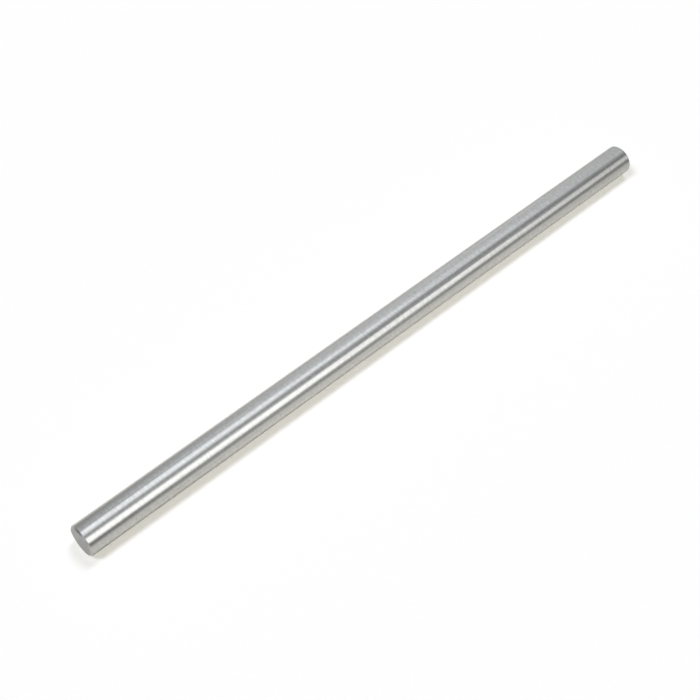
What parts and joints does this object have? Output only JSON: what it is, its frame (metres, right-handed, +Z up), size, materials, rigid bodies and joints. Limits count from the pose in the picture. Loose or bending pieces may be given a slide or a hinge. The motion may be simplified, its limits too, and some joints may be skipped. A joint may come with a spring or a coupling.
{
  "type": "alloy round rod",
  "caption": "Straight solid round metal rod with a ground and polished surface and a small chamfer at each end.",
  "frame": {"origin": "on the floor below the middle of the rod as it lies", "axes": "+X along the rod, +Z up, the rod's own axis one radius above the floor"},
  "size_m": [0.45, 0.02, 0.02],
  "materials": {
    "rod_steel": "ground and polished bright, with fine marks round the rod and faced, chamfered ends"
  },
  "bodies": {
    "root": {"round_rod": "rod_steel"}
  },
  "joints": []
}
